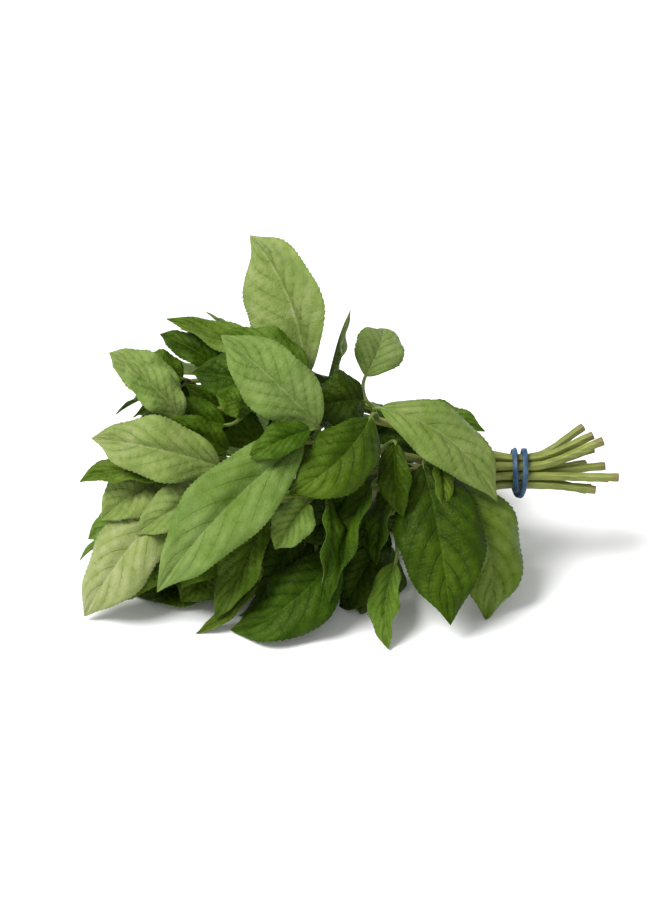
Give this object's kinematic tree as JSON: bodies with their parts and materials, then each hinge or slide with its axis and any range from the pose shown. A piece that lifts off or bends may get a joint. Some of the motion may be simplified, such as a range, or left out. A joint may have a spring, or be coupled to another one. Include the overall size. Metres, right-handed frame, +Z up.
{
  "type": "basil bunch",
  "caption": "Bunch of fresh large-leaved basil lying on its side, its cut stems held together by a rubber band.",
  "frame": {"origin": "on the surface that the bunch lies on, under the middle of its bounding box", "axes": "+X along the bunch, towards the cut ends of the stems; +Y away from the side it is seen from; +Z up"},
  "size_m": [0.2152, 0.14, 0.1221],
  "materials": {
    "basil": "satin",
    "rubber_band": "satin"
  },
  "bodies": {
    "root": {"rubber_band": "rubber_band", "basil_stem_01": "basil", "basil_stem_02": "basil", "basil_stem_03": "basil", "basil_stem_04": "basil", "basil_stem_05": "basil", "basil_stem_06": "basil", "basil_stem_07": "basil", "basil_stem_08": "basil", "basil_stem_09": "basil", "basil_stem_10": "basil", "basil_stem_11": "basil", "basil_stem_12": "basil"}
  },
  "joints": []
}
